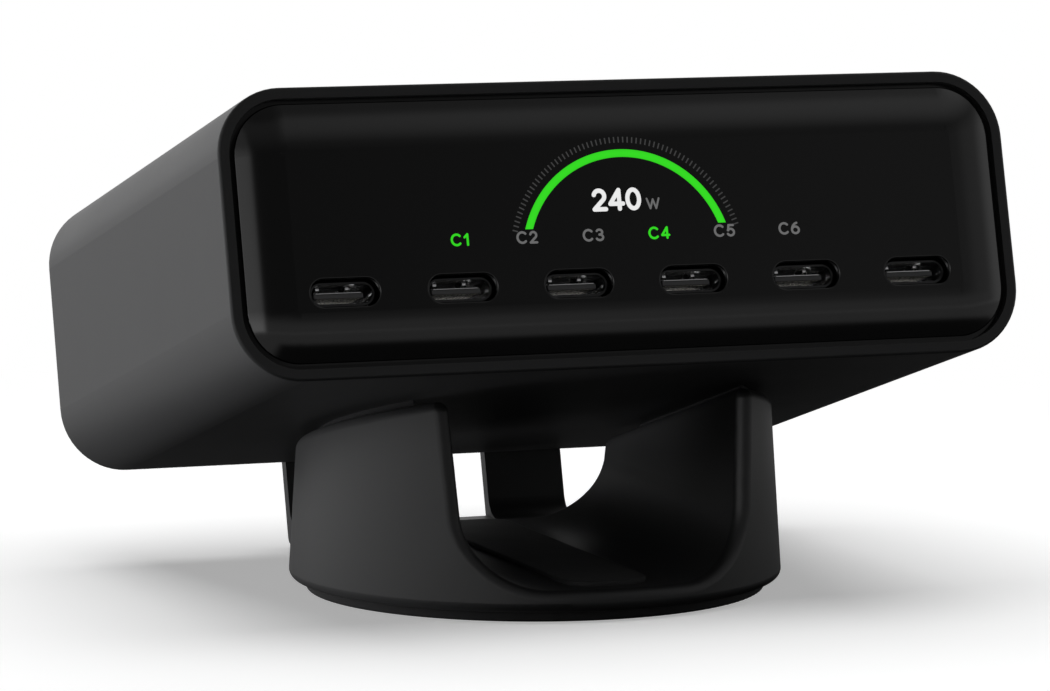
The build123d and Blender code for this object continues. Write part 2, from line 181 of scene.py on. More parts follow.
class Graph:
    """Node tree that is filled by expressions."""

    def __init__(self, tree):
        self.tree = tree

    def node(self, kind, settings=None, values=None):
        """Add a node, apply its settings, then set or link its sockets, and return it."""
        node = self.tree.nodes.new(kind)
        for key, setting in (settings or {}).items():
            setattr(node, key, setting)
        for key, value in (values or {}).items():
            if isinstance(value, Value):
                self.tree.links.new(value.socket, node.inputs[key])
            else:
                node.inputs[key].default_value = value
        return node

    def add(self, kind, settings=None, values=None, output=0):
        """Add a node and return one of its outputs."""
        return Value(self, self.node(kind, settings, values).outputs[output])

    def noise(self, place, size, detail=2.0, roughness=0.5):
        """Return a cloudy value from 0 to 1, with features of about one size."""
        values = {"Vector": place, "Scale": 1.0 / size, "Detail": detail, "Roughness": roughness}
        return self.add("ShaderNodeTexNoise", None, values, "Fac")

    def blend(self, factor, low, high):
        """Return a colour between two."""
        values = {0: factor, 6: (*low, 1.0), 7: (*high, 1.0)}
        return self.add("ShaderNodeMix", {"data_type": "RGBA"}, values, 2)

    def smooth(self, value, low, high):
        """Return a value that eases from 0 at one level to 1 at another."""
        settings = {"interpolation_type": "SMOOTHSTEP"}
        return self.add("ShaderNodeMapRange", settings, {"Value": value, "From Min": low, "From Max": high})

    def bump(self, height, depth):
        """Return a normal that follows a height between 0 and 1."""
        return self.add("ShaderNodeBump", None, {"Strength": 1.0, "Distance": depth, "Height": height})

    def along(self, place, way):
        """Return how far a place lies along a direction."""
        return self.add("ShaderNodeVectorMath", {"operation": "DOT_PRODUCT"}, {0: place, 1: way}, "Value")

    def reach(self, place, middle=(0, 0, 0)):
        """Return how far a place lies from a point."""
        return self.add("ShaderNodeVectorMath", {"operation": "DISTANCE"}, {0: place, 1: middle}, "Value")

    def parts(self, place):
        """Return a place's three coordinates."""
        node = self.node("ShaderNodeSeparateXYZ", None, {"Vector": place})
        return [Value(self, node.outputs[name]) for name in "XYZ"]

    def ray(self, *names):
        """Return named facts about the ray that arrives."""
        node = self.node("ShaderNodeLightPath")
        return [Value(self, node.outputs[name]) for name in names]

    def glow(self, strength):
        """Return a surface that gives off white light."""
        return self.add("ShaderNodeEmission", None, {"Strength": strength})

    def mix(self, factor, low, high):
        """Return a surface between two."""
        return self.add("ShaderNodeMixShader", None, {0: factor, 1: low, 2: high})


# Finishes


def new_material(name):
    """Return an empty material and its graph."""
    material = bpy.data.materials.new(name)
    material.use_nodes = True
    material.node_tree.nodes.clear()
    return material, Graph(material.node_tree)


def close_material(graph, values):
    """End a material's graph in a Principled shader."""
    shader = graph.add("ShaderNodeBsdfPrincipled", None, values)
    graph.node("ShaderNodeOutputMaterial", None, {"Surface": shader})


def object_place(graph):
    """Return the piece's own coordinates."""
    return graph.add("ShaderNodeTexCoord", None, None, "Object")


def shade(colour, factor):
    """Return a colour made lighter or darker."""
    return tuple(channel * factor for channel in colour)


def moulded_finish(name, colour, roughness, grain_size, grain_depth, specular=0.5):
    """Moulded plastic with a fine spark-eroded grain and faint flow clouds."""
    material, graph = new_material(name)
    place = object_place(graph)
    grain = graph.noise(place, grain_size, 3.0, 0.6)
    cloud = graph.noise(place, 60 * grain_size, 2.0)
    tone = 0.65 * cloud + 0.35 * grain
    close_material(graph, {
        "Base Color": graph.blend(tone, shade(colour, 0.9), shade(colour, 1.1)),
        "Roughness": roughness - 0.05 + 0.1 * tone,
        "Specular IOR Level": specular,
        "Normal": graph.bump(grain, grain_depth),
    })
    return material


def smoked_finish(name, colour, roughness):
    """Polished smoked plastic with a faint haze."""
    material, graph = new_material(name)
    place = object_place(graph)
    haze = graph.noise(place, 18 * MM, 3.0)
    ripple = graph.noise(place, 9 * MM, 1.0)
    close_material(graph, {
        "Base Color": graph.blend(haze, shade(colour, 0.85), shade(colour, 1.15)),
        "Roughness": roughness - 0.015 + 0.03 * haze,
        "Normal": graph.bump(ripple, 0.002 * MM),
    })
    return material


def metal_finish(name, colour, roughness, stretch, mouth=None):
    """Drawn or plated metal with fine lines along the depth and stains, and painted shade darkening its
    mouth if a mouth depth is given.
    """
    material, graph = new_material(name)
    place = object_place(graph)
    drawn = graph.add("ShaderNodeMapping", None, {"Vector": place, "Scale": (1.0, stretch, 1.0)})
    lines = graph.noise(drawn, 0.25 * MM, 2.0)
    stain = graph.noise(place, 3 * MM, 2.0)
    clean_and_lit = 0.4 + 0.6 * stain
    stain_and_shade = shade(colour, 0.8)
    if mouth is not None:
        # Painted shade: the shell's mouth is darkened to a tenth of its colour over its first few tenths of
        # a millimetre
        clean_and_lit = clean_and_lit * graph.smooth(graph.along(place, BACK), mouth + 0.05 * MM, mouth + 0.4 * MM)
        stain_and_shade = shade(colour, 0.1)
    close_material(graph, {
        "Base Color": graph.blend(clean_and_lit, stain_and_shade, colour),
        "Metallic": 1.0,
        "Roughness": roughness - 0.06 + 0.12 * lines,
        "Normal": graph.bump(lines, 0.004 * MM),
    })
    return material


def soft_finish(name, colour):
    """Soft matt silicone with a dusty bloom."""
    material, graph = new_material(name)
    place = object_place(graph)
    bloom = graph.noise(place, 6 * MM, 3.0)
    pores = graph.noise(place, 0.3 * MM, 2.0)
    close_material(graph, {
        "Base Color": graph.blend(bloom, shade(colour, 0.85), shade(colour, 1.25)),
        "Roughness": 0.72 + 0.14 * bloom,
        "Normal": graph.bump(pores, 0.01 * MM),
    })
    return material


def lit_finish(name, colour, middle=None, radius=0.0, width=0.0):
    """Lit colour with a faint glow, brightest along an arc's middle line if one is given."""
    material, graph = new_material(name)
    place = object_place(graph)
    glow = graph.noise(place, 2 * MM, 1.0)
    if middle is not None:
        away = (graph.reach(place, middle) - radius).math("ABSOLUTE") / (0.5 * width)
        glow = 0.3 * glow + 0.7 * (1 - away * away)
    close_material(graph, {
        "Base Color": (0.01, 0.01, 0.01, 1.0),
        "Roughness": 0.6,
        "Specular IOR Level": 0.0,
        "Emission Color": graph.blend(glow, shade(colour, 0.9), shade(colour, 1.06)),
        "Emission Strength": 1.0,
    })
    return material


def board_finish(name, colour):
    """Solder mask over a grid of copper tracks."""
    material, graph = new_material(name)
    place = object_place(graph)
    bricks = {"Vector": place, "Scale": 220.0, "Mortar Size": 0.08}
    tracks = graph.add("ShaderNodeTexBrick", None, bricks, "Fac")
    close_material(graph, {
        "Base Color": graph.blend(tracks, colour, shade(colour, 1.7)),
        "Roughness": 0.35 + 0.1 * tracks,
        "Normal": graph.bump(tracks, 0.03 * MM),
    })
    return material


def winding_finish(name, colour):
    """Turns of enamelled wire round an upright coil, with painted shade in the grooves between the turns."""
    material, graph = new_material(name)
    place = object_place(graph)
    wire = 0.6 * MM
    turns = (graph.along(place, UP) * (2 * pi / wire)).math("SINE") * 0.5 + 0.5
    # Painted shade: the wire's colour darkens in the grooves between its turns
    close_material(graph, {
        "Base Color": graph.blend(turns, shade(colour, 0.55), colour),
        "Metallic": 0.8,
        "Roughness": 0.45 - 0.1 * turns,
        "Normal": graph.bump(turns, 0.1 * MM),
    })
    return material


def speckled_finish(name, colour, roughness, size, metallic=0.0):
    """Sintered, sleeved or mill-finished surface with a fine speckle."""
    material, graph = new_material(name)
    place = object_place(graph)
    speck = graph.noise(place, size, 4.0, 0.7)
    close_material(graph, {
        "Base Color": graph.blend(speck, shade(colour, 0.8), shade(colour, 1.2)),
        "Metallic": metallic,
        "Roughness": roughness - 0.08 + 0.16 * speck,
        "Normal": graph.bump(speck, 0.01 * MM),
    })
    return material


# Colours, sizes and light that can be set in the sidebar


class ChargerFinishes(bpy.types.PropertyGroup):
    """Colours and gloss of the outside."""

    sleeve: FloatVectorProperty(
        name="Sleeve", description="Colour of the sleeve's satin plastic", subtype="COLOR",
        default=(0.036, 0.0363, 0.0373), min=0.0, max=1.0)
    sleeve_roughness: FloatProperty(
        name="Sleeve roughness", description="Roughness of the sleeve", subtype="FACTOR",
        default=0.46, min=0.0, max=1.0)
    panel: FloatVectorProperty(
        name="Front panel", description="Colour of the smoked front panel", subtype="COLOR",
        default=(0.0022, 0.0022, 0.0023), min=0.0, max=1.0)
    panel_roughness: FloatProperty(
        name="Panel roughness", description="Roughness of the front panel", subtype="FACTOR",
        default=0.14, min=0.0, max=1.0)
    stand: FloatVectorProperty(
        name="Stand", description="Colour of the stand's satin plastic", subtype="COLOR",
        default=(0.024, 0.0242, 0.0249), min=0.0, max=1.0)
    stand_roughness: FloatProperty(
        name="Stand roughness", description="Roughness of the stand", subtype="FACTOR",
        default=0.5, min=0.0, max=1.0)
    dark: FloatVectorProperty(
        name="Dark plastic", description="Colour of the rear panel, inlet and tray", subtype="COLOR",
        default=(0.018, 0.018, 0.019), min=0.0, max=1.0)
    steel: FloatVectorProperty(
        name="Receptacle steel", description="Colour of the receptacles' shells", subtype="COLOR",
        default=(0.62, 0.62, 0.63), min=0.0, max=1.0)
    spring: FloatVectorProperty(
        name="Spring steel", description="Colour of the receptacles' springs and plates", subtype="COLOR",
        default=(0.9, 0.9, 0.91), min=0.0, max=1.0)
    tongue: FloatVectorProperty(
        name="Tongue", description="Colour of the receptacles' tongues", subtype="COLOR",
        default=(0.035, 0.035, 0.036), min=0.0, max=1.0)
    gold: FloatVectorProperty(
        name="Contacts", description="Colour of the plated contacts", subtype="COLOR",
        default=(0.42, 0.4, 0.35), min=0.0, max=1.0)
    pad: FloatVectorProperty(
        name="Pads", description="Colour of the soft pads and feet", subtype="COLOR",
        default=(0.012, 0.012, 0.0125), min=0.0, max=1.0)
    lit: FloatVectorProperty(
        name="Lit green", description="Colour of the gauge's arc and of the labels in use", subtype="COLOR",
        default=(0.036, 0.68, 0.018), min=0.0, max=1.0)
    figures: FloatVectorProperty(
        name="Figures", description="Colour of the gauge's figures", subtype="COLOR",
        default=(0.84, 0.84, 0.84), min=0.0, max=1.0)
    idle: FloatVectorProperty(
        name="Idle labels", description="Colour of the labels not in use", subtype="COLOR",
        default=(0.145, 0.145, 0.145), min=0.0, max=1.0)
    tick: FloatVectorProperty(
        name="Ticks", description="Colour of the gauge's ticks", subtype="COLOR",
        default=(0.05, 0.05, 0.05), min=0.0, max=1.0)


class ChargerGauge(bpy.types.PropertyGroup):
    """Lit gauge on the front panel."""

    centre_x: FloatProperty(
        name="Arc centre X", description="Arc centre to the right of the middle", unit="LENGTH",
        default=-0.8 * MM)
    centre_z: FloatProperty(
        name="Arc centre height", description="Arc centre above the sleeve's underside", unit="LENGTH",
        default=13.75 * MM)
    radius: FloatProperty(
        name="Arc radius", description="Radius of the arc's middle line", unit="LENGTH", default=14.25 * MM)
    line: FloatProperty(
        name="Arc width", description="Width of the arc's line", unit="LENGTH", default=1.02 * MM)
    cut: FloatProperty(
        name="Arc ends", description="Height of the arc's level ends above its centre", unit="LENGTH",
        default=4.6 * MM)
    tick_count: IntProperty(
        name="Ticks", description="Number of ticks round the arc", subtype="UNSIGNED", default=67, min=2)
    tick_span: FloatProperty(
        name="Tick half span", description="Angle from the top to the last tick on each side",
        subtype="ANGLE", default=radians(74.0))
    tick_reach: FloatProperty(
        name="Tick reach", description="Radius to the ticks' outer ends", unit="LENGTH", default=16.42 * MM)
    tick_length: FloatProperty(
        name="Tick length", description="Length of a tick", unit="LENGTH", default=0.76 * MM)
    tick_width: FloatProperty(
        name="Tick width", description="Width of a tick", unit="LENGTH", default=0.17 * MM)
    layer: FloatProperty(
        name="Layer", description="Thickness of the lit layer on the panel", unit="LENGTH",
        default=0.03 * MM)
    figure_height: FloatProperty(
        name="Figure height", description="Height of the gauge's figures", unit="LENGTH", default=3.05 * MM)
    figure_x: FloatProperty(
        name="Figure X", description="Middle of the figures", unit="LENGTH", default=-1.82 * MM)
    figure_z: FloatProperty(
        name="Figure Z", description="Middle height of the figures", unit="LENGTH", default=21.88 * MM)
    unit_height: FloatProperty(
        name="Unit height", description="Height of the unit's letter", unit="LENGTH", default=1.56 * MM)
    unit_x: FloatProperty(
        name="Unit X", description="Middle of the unit's letter", unit="LENGTH", default=3.24 * MM)
    unit_z: FloatProperty(
        name="Unit Z", description="Middle height of the unit's letter", unit="LENGTH", default=21.2 * MM)
    label_height: FloatProperty(
        name="Label height", description="Height of the port labels", unit="LENGTH", default=1.68 * MM)
    label_x: FloatProperty(
        name="First label X", description="Middle of the first label", unit="LENGTH", default=-23.87 * MM)
    label_pitch: FloatProperty(
        name="Label pitch", description="Distance from label to label", unit="LENGTH", default=9.2 * MM)
    label_z: FloatProperty(
        name="Label Z", description="Middle height of the labels", unit="LENGTH", default=17.28 * MM)


class ChargerReceptacle(bpy.types.PropertyGroup):
    """Springs and plates inside each receptacle."""

    spring_offset: FloatProperty(
        name="Spring offset", description="Spring's distance from the middle", unit="LENGTH",
        default=2.02 * MM)
    spring_width: FloatProperty(
        name="Spring width", description="Width of a spring's root", unit="LENGTH", default=1.3 * MM)
    spring_length: FloatProperty(
        name="Spring length", description="Length of a spring", unit="LENGTH", default=2.6 * MM)
    spring_dip: FloatProperty(
        name="Spring dip", description="How far a spring bends into the mouth", unit="LENGTH",
        default=0.5 * MM)
    spring_tip: FloatProperty(
        name="Spring tip", description="Depth of the spring's low point behind the mouth", unit="LENGTH",
        default=4.6 * MM)
    wall: FloatProperty(
        name="Shell wall", description="Thickness of the shell's wall", unit="LENGTH", default=0.35 * MM)
    plate_width: FloatProperty(
        name="Plate width", description="Width of the ground plates on the tongue", unit="LENGTH",
        default=6.2 * MM)
    plate_front: FloatProperty(
        name="Plate front", description="Depth of the plates' front behind the mouth", unit="LENGTH",
        default=4.4 * MM)
    plate_thickness: FloatProperty(
        name="Plate thickness", description="Thickness of the ground plates", unit="LENGTH",
        default=0.3 * MM)


class ChargerStage(bpy.types.PropertyGroup):
    """Floor, light and camera."""

    lens: FloatProperty(
        name="Lens", description="Focal length on a 36 mm sensor", subtype="DISTANCE_CAMERA", default=189.98)
    camera_place: FloatVectorProperty(
        name="Camera", description="Camera's place", subtype="TRANSLATION", unit="LENGTH",
        default=(-0.2617, -0.70756, 0.1196))
    camera_turn: FloatVectorProperty(
        name="Camera turn", description="Camera's turn about X, Y and Z", subtype="EULER",
        default=(radians(83.4646), radians(0.0273), radians(-20.1992)))
    floor_size: FloatProperty(
        name="Floor", description="Width of the floor", unit="LENGTH", default=8.0)
    ambient: FloatProperty(
        name="Ambient", description="Light from all round", subtype="FACTOR",
        default=0.06, min=0.0, max=1.0)
    floor_lift: FloatProperty(
        name="Floor lift", description="Light that the floor shows to the camera by itself",
        subtype="FACTOR", default=0.38, min=0.0, max=1.0)
    card: FloatProperty(
        name="Low card", description="Light of the grey card, in front and on the floor, in mirror images",
        subtype="FACTOR", default=0.42, min=0.0, max=1.0)


# Pieces


def link(piece):
    """Put a piece into the scene."""
    bpy.context.scene.collection.objects.link(piece)
    return piece


def settle(piece):
    """Make a finished piece ride on the charger."""
    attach(piece, BODY_NAME)


def dress(node, material):
    """Give a CAD node's object one material."""
    slots = frame["nodes"][node].data.materials
    slots.clear()
    slots.append(material)


def mesh_piece(name, work, material, place):
    """Turn a bmesh into a piece, with its points moved to their place."""
    bmesh.ops.recalc_face_normals(work, faces=work.faces)
    mesh = bpy.data.meshes.new(name)
    work.to_mesh(mesh)
    work.free()
    mesh.transform(place)
    mesh.materials.append(material)
    return link(bpy.data.objects.new(name, mesh))


def upright(x, z):
    """Return the place of a flat drawing on the front panel's face, with its own up along z."""
    return BODY @ Matrix.Translation((x, PANEL_FACE, z)) @ Matrix.Rotation(pi / 2, 4, "X")


def loft(work, rows):
    """Join rows of four corners into a closed strip."""
    for low, high in zip(rows, rows[1:]):
        for corner in range(4):
            after = (corner + 1) % 4
            work.faces.new((low[corner], low[after], high[after], high[corner]))
    work.faces.new(rows[0])
    work.faces.new(reversed(rows[-1]))


def strip(work, pairs, thickness):
    """Add a thin flat strip between pairs of left and right points in X and Y, standing up in Z."""
    rows = []
    for left, right in pairs:
        corners = ((left, 0), (right, 0), (right, thickness), (left, thickness))
        rows.append([work.verts.new((*point, height)) for point, height in corners])
    loft(work, rows)


def level_arc(radius, width, cut, steps):
    """Return the point pairs of an arc over the origin, whose ends are cut off level at a height."""
    pairs = []
    for index in range(steps + 1):
        share = 2 * index / steps - 1
        pair = []
        for reach in (radius - width / 2, radius + width / 2):
            angle = share * acos(cut / reach)
            pair.append((reach * sin(angle), reach * cos(angle)))
        pairs.append(pair)
    return pairs


def stroke(points, width):
    """Return the point pairs of a pen stroke with round ends along a line of points."""
    points = [Vector(point) for point in points]
    ways = [(after - before).normalized() for before, after in zip(points, points[1:])]
    ways = [ways[0]] + [(before + after).normalized() for before, after in zip(ways, ways[1:])] + [ways[-1]]
    turns = [radians(angle) for angle in (80, 60, 40, 20)]
    starts = [(points[0], ways[0], -sin(turn), cos(turn)) for turn in turns]
    ends = [(points[-1], ways[-1], sin(turn), cos(turn)) for turn in reversed(turns)]
    middles = [(point, way, 0, 1) for point, way in zip(points, ways)]
    pairs = []
    for point, way, ahead, share in starts + middles + ends:
        side = Vector((-way.y, way.x)) * width / 2 * share
        place = point + way * width / 2 * ahead
        pairs.append((place + side, place - side))
    return pairs


def bow(x, y, across, tall, start, end, steps=20):
    """Return points along part of an oval, between two angles in degrees."""
    angles = [radians(start + (end - start) * index / steps) for index in range(steps + 1)]
    return [(x + across * cos(angle), y + tall * sin(angle)) for angle in angles]


# Each figure's width over its height, and its pen strokes in a unit square
FIGURES = {
    "0": (0.72, [bow(0.5, 0.5, 0.5, 0.5, 0, 360, 32)]),
    "1": (0.5, [[(0.75, 1), (0.75, 0)], [(0.75, 1), (0.0, 0.72)]]),
    "2": (0.71, [bow(0.48, 0.7, 0.46, 0.3, 165, -36) + [(0, 0)], [(0, 0), (1, 0)]]),
    "3": (0.74, [bow(0.46, 0.76, 0.42, 0.24, 150, -90), bow(0.46, 0.27, 0.5, 0.27, 90, -152)]),
    "4": (0.77, [[(0.72, 1), (0, 0.27)], [(0, 0.27), (1, 0.27)], [(0.72, 1), (0.72, 0)]]),
    "5": (0.74, [[(0.9, 1), (0.22, 1)], [(0.22, 1), (0.12, 0.5)], bow(0.47, 0.32, 0.5, 0.32, 142, -150)]),
    "6": (0.76, [bow(0.5, 0.32, 0.5, 0.32, 0, 360, 32), bow(0.95, 0.3, 0.95, 0.72, 178, 104)]),
    "C": (0.92, [bow(0.53, 0.5, 0.53, 0.5, 46, 314, 28)]),
    "W": (1.24, [[(0, 1), (0.26, 0)], [(0.26, 0), (0.5, 0.92)], [(0.5, 0.92), (0.74, 0)],
                 [(0.74, 0), (1, 1)]]),
}


def lettering(name, text, height, x, z, pens, material):
    """Draw figures with a round pen on the front panel, centred on a place."""
    pen, gap = [share * height for share in pens]
    widths = [FIGURES[letter][0] * height for letter in text]
    left = -(sum(widths) + gap * (len(text) - 1)) / 2
    work = bmesh.new()
    for letter, width in zip(text, widths):
        for points in FIGURES[letter][1]:
            line = [(left + pen / 2 + across * (width - pen), -height / 2 + pen / 2 + up * (height - pen))
                    for across, up in points]
            strip(work, stroke(line, pen), bpy.context.scene.charger_gauge.layer)
        left += width + gap
    return mesh_piece(name, work, material, upright(x, z))


# Repeated pieces by geometry nodes


def run_nodes(name, tree, values, material):
    """Run a geometry tree on an empty mesh and return the plain mesh piece."""
    piece = link(bpy.data.objects.new(name, bpy.data.meshes.new(name)))
    modifier = piece.modifiers.new("Nodes", "NODES")
    modifier.node_group = tree
    for item in tree.interface.items_tree:
        if item.in_out == "INPUT" and item.name in values:
            modifier[item.identifier] = values[item.name]
    shown = piece.evaluated_get(bpy.context.evaluated_depsgraph_get())
    mesh = bpy.data.meshes.new_from_object(shown)
    piece.modifiers.remove(modifier)
    piece.data = mesh
    mesh.name = name
    mesh.materials.clear()
    mesh.materials.append(material)
    return piece


def new_tree(name, inputs):
    """Return a geometry tree's graph and its named inputs."""
    tree = bpy.data.node_groups.new(name, "GeometryNodeTree")
    tree.interface.new_socket("Geometry", in_out="OUTPUT", socket_type="NodeSocketGeometry")
    for label, kind in inputs:
        tree.interface.new_socket(label, in_out="INPUT", socket_type=kind)
    graph = Graph(tree)
    entry = graph.node("NodeGroupInput")
    return graph, {label: Value(graph, entry.outputs[label]) for label, kind in inputs}


def close_tree(graph, instances, material):
    """End a geometry tree in real geometry with its material."""
    real = graph.add("GeometryNodeRealizeInstances", None, {"Geometry": instances})
    done = graph.add("GeometryNodeSetMaterial", None, {"Geometry": real, "Material": material})
    graph.node("NodeGroupOutput", None, {"Geometry": done})
    return graph.tree


def tick_tree(material):
    """Geometry tree: ticks on an arc about the origin, in X and Y, standing in Z."""
    graph, given = new_tree("gauge_ticks", [
        ("Count", "NodeSocketInt"), ("Radius", "NodeSocketFloat"), ("Half span", "NodeSocketFloat"),
        ("Length", "NodeSocketFloat"), ("Width", "NodeSocketFloat"), ("Layer", "NodeSocketFloat")])
    points = graph.add("GeometryNodePoints", None, {"Count": given["Count"]})
    index = graph.add("GeometryNodeInputIndex")
    share = index / (given["Count"] - 1) * 2 - 1
    angle = share * given["Half span"]
    middle = given["Radius"] - 0.5 * given["Length"]
    place = graph.add("ShaderNodeCombineXYZ", None, {
        "X": middle * angle.math("SINE"), "Y": middle * angle.math("COSINE"), "Z": 0.5 * given["Layer"]})
    turn = graph.add("ShaderNodeCombineXYZ", None, {"Z": 0 - angle})
    spread = graph.add("GeometryNodeSetPosition", None, {"Geometry": points, "Position": place})
    size = graph.add("ShaderNodeCombineXYZ", None, {
        "X": given["Width"], "Y": given["Length"], "Z": given["Layer"]})
    tick = graph.add("GeometryNodeMeshCube", None, {"Size": size})
    instances = graph.add("GeometryNodeInstanceOnPoints", None, {
        "Points": spread, "Instance": tick, "Rotation": turn})
    return close_tree(graph, instances, material)


def spring_tree(shape, material):
    """Geometry tree: one shape repeated on a row of ports, in a pair on the ceiling and on the floor."""
    graph, given = new_tree("receptacle_springs", [
        ("Ports", "NodeSocketInt"), ("Pitch", "NodeSocketFloat"), ("Offset", "NodeSocketFloat"),
        ("Half height", "NodeSocketFloat")])
    points = graph.add("GeometryNodePoints", None, {"Count": given["Ports"] * 4})
    index = graph.add("GeometryNodeInputIndex")
    port = (index / 4).math("FLOOR")
    corner = index - 4 * port
    top = corner > 1.5
    right = (corner - 2 * top) > 0.5
    across = (port - 0.5 * (given["Ports"] - 1)) * given["Pitch"] + (2 * right - 1) * given["Offset"]
    place = graph.add("ShaderNodeCombineXYZ", None, {"X": across, "Z": (2 * top - 1) * given["Half height"]})
    turn = graph.add("ShaderNodeCombineXYZ", None, {"Y": (1 - top) * pi})
    spread = graph.add("GeometryNodeSetPosition", None, {"Geometry": points, "Position": place})
    source = graph.add("GeometryNodeObjectInfo", None, {"Object": shape}, "Geometry")
    instances = graph.add("GeometryNodeInstanceOnPoints", None, {
        "Points": spread, "Instance": source, "Rotation": turn})
    return close_tree(graph, instances, material)


# Steps


class CHARGER_OT_shells(bpy.types.Operator):
    """Finish the sleeve and the two panels"""

    bl_idname = "charger.shells"
    bl_label = "Sleeve and panels"

    def execute(self, context):
        look = context.scene.charger_finishes
        grain = 0.28 * MM
        satin = moulded_finish("sleeve_satin", look.sleeve, look.sleeve_roughness, grain, 0.006 * MM, 0.4)
        dress("sleeve", satin)
        dress("front_panel", smoked_finish("smoked_gloss", look.panel, look.panel_roughness))
        dress("rear_panel", moulded_finish("rear_matt", look.dark, 0.55, grain, 0.01 * MM))
        return {"FINISHED"}


class CHARGER_OT_receptacles(bpy.types.Operator):
    """Finish the receptacles, and add the springs and ground plates inside them"""

    bl_idname = "charger.receptacles"
    bl_label = "Receptacles"

    def execute(self, context):
        look = context.scene.charger_finishes
        given = context.scene.charger_receptacle
        mouth_depth = leaning_box("usb_shell_1")[0].y
        # Drawn steel for the shells, with painted shade darkening their mouths
        steel = metal_finish("drawn_steel", look.steel, 0.2, DRAWN, mouth_depth)
        bright = metal_finish("spring_steel", look.spring, 0.16, DRAWN)
        tongue = moulded_finish("tongue_moulding", look.tongue, 0.4, 0.15 * MM, 0.004 * MM)
        gold = metal_finish("contact_plating", look.gold, 0.28, PLATED)
        for number in range(1, len(PORTS) + 1):
            dress(f"usb_shell_{number}", steel)
            dress(f"usb_tongue_{number}", tongue)
            dress(f"usb_contacts_{number}", gold)
        mouth = BODY @ Matrix.Translation((0, SHELL_LOW.y, PORT_Z))
        draft = self.spring_shape(given, bright)
        pitch = PORT_X[1] - PORT_X[0]
        half = (SHELL_HIGH.z - SHELL_LOW.z) / 2 - given.wall
        springs = run_nodes("receptacle_springs", spring_tree(draft, bright), {
            "Ports": len(PORTS), "Pitch": pitch, "Offset": given.spring_offset, "Half height": half}, bright)
        springs.data.transform(mouth)
        bpy.data.objects.remove(draft)
        settle(springs)
        settle(self.plates(given, mouth, bright))
        return {"FINISHED"}

    def spring_shape(self, given, material):
        """One spring: a strip that leaves the ceiling, dips to its tip and turns up again."""
        steps = 14
        # Shares of the length, from the root, where the strip is lowest and where it starts to narrow
        dip = 0.75
        taper = 0.6
        lift = pi / 2.4
        narrowing = pi / 2.6
        root = given.spring_tip + given.spring_length * dip
        front = given.spring_tip - given.spring_length * (1 - dip)
        work = bmesh.new()
        rows = []
        for index in range(steps + 1):
            share = index / steps
            depth = root + (front - root) * share
            rise = -given.spring_dip * sin(min(share / dip, 1.0) * pi / 2) ** 2
            if share > dip:
                rise *= cos((share - dip) / (1 - dip) * lift)
            half = given.spring_width / 2
            if share >= taper:
                half *= cos((share - taper) / (1 - taper) * narrowing)
            corners = ((-half, 0), (half, 0), (half, SPRING_SHEET), (-half, SPRING_SHEET))
            rows.append([work.verts.new((x, depth, rise + z)) for x, z in corners])
        loft(work, rows)
        return mesh_piece("spring_draft", work, material, Matrix.Identity(4))

    def block(self, work, middle, size, width, segments, front=None):
        """Add a block with all its edges rounded, or only those at its front."""
        made = bmesh.ops.create_cube(work, size=1.0, matrix=Matrix.LocRotScale(middle, None, size))
        edges = [edge for edge in work.edges if edge.verts[0] in made["verts"]]
        if front is not None:
            edges = [edge for edge in edges if all(abs(vert.co.y - front) < NEARLY for vert in edge.verts)]
        bmesh.ops.bevel(work, geom=edges, offset=width, segments=segments, affect="EDGES")

    def plates(self, given, mouth, material):
        """Ground plates on both faces of each tongue, and a bar on its upper front edge."""
        work = bmesh.new()
        front = given.plate_front
        back = TONGUE_HIGH.y - SHELL_LOW.y - PLATE_BACK_GAP
        plate = (given.plate_width, back - front, given.plate_thickness)
        level = TONGUE_FACE + given.plate_thickness / 2
        bar = (given.plate_width, BAR_DEPTH, BAR_HEIGHT)
        edge = TONGUE_LOW.y - SHELL_LOW.y + BAR_SETBACK
        for x in PORT_X:
            for side in (-1, 1):
                self.block(work, (x, (front + back) / 2, side * level), plate, PLATE_ROLL, 3, front)
            self.block(work, (x, edge, TONGUE_FACE + BAR_LIFT), bar, BAR_ROUND, 2)
        return mesh_piece("receptacle_plates", work, material, mouth)


class CHARGER_OT_gauge(bpy.types.Operator):
    """Add the lit gauge and the port labels on the front panel"""

    bl_idname = "charger.gauge"
    bl_label = "Gauge"

    def execute(self, context):
        look = context.scene.charger_finishes
        given = context.scene.charger_gauge
        centre = upright(given.centre_x, given.centre_z)
        green = lit_finish("lit_arc", look.lit, centre.translation, given.radius, given.line)
        work = bmesh.new()
        strip(work, level_arc(given.radius, given.line, given.cut, 96), given.layer)
        settle(mesh_piece("gauge_arc", work, green, centre))
        dim = lit_finish("lit_ticks", look.tick)
        ticks = run_nodes("gauge_ticks", tick_tree(dim), {
            "Count": given.tick_count, "Radius": given.tick_reach, "Half span": given.tick_span,
            "Length": given.tick_length, "Width": given.tick_width, "Layer": given.layer}, dim)
        ticks.data.transform(centre)
        settle(ticks)
        white = lit_finish("lit_figures", look.figures)
        grey = lit_finish("lit_idle", look.idle)
        lime = lit_finish("lit_label", look.lit)
        figures = lettering(
            "gauge_figures", "240", given.figure_height, given.figure_x, given.figure_z, FIGURE_PEN, white)
        settle(figures)
        unit = lettering("gauge_unit", "W", given.unit_height, given.unit_x, given.unit_z, UNIT_PEN, grey)
        settle(unit)
        for number in range(1, len(PORTS) + 1):
            x = given.label_x + given.label_pitch * (number - 1)
            material = lime if number in PORTS_IN_USE else grey
            label = lettering(f"port_label_{number}", f"C{number}", given.label_height, x, given.label_z,
                              LABEL_PEN, material)
            settle(label)
        return {"FINISHED"}


